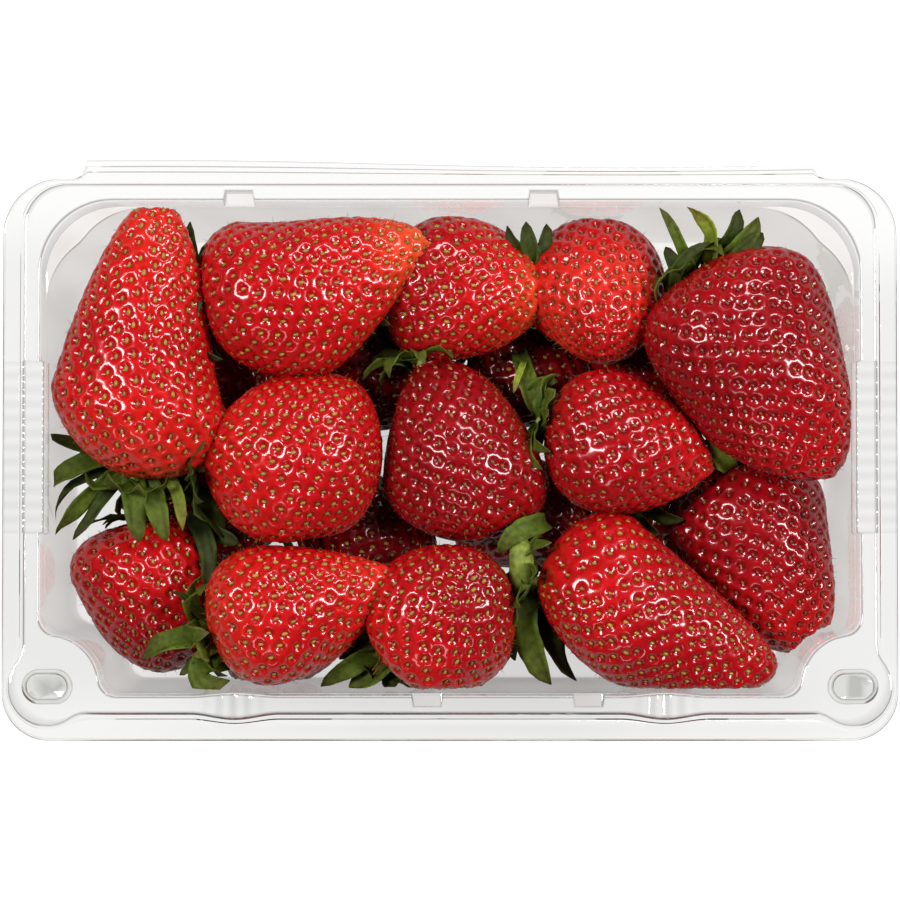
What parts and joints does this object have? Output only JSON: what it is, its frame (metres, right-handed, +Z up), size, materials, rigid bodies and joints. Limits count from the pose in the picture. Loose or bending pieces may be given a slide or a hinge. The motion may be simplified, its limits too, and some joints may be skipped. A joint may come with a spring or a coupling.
{
  "type": "punnet of strawberries",
  "caption": "Open clear plastic punnet with a flange, snap buttons and a hinge strip, heaped with ripe strawberries that lie on their sides.",
  "frame": {"origin": "under the middle of the whole, on the surface that the punnet stands on", "axes": "+X along the punnet's length, +Y towards its hinge strip at the back, +Z up out of its open top"},
  "size_m": [0.1892, 0.1229, 0.0598],
  "materials": {
    "clear_plastic": "clear thermoformed PET, glossy",
    "strawberry_skin": "glossy ripe berry skin",
    "seed": "dry golden seed",
    "leaf": "soft hairy leaf"
  },
  "bodies": {
    "root": {"punnet": "clear_plastic", "strawberry_heap": "strawberry_skin"}
  },
  "joints": []
}
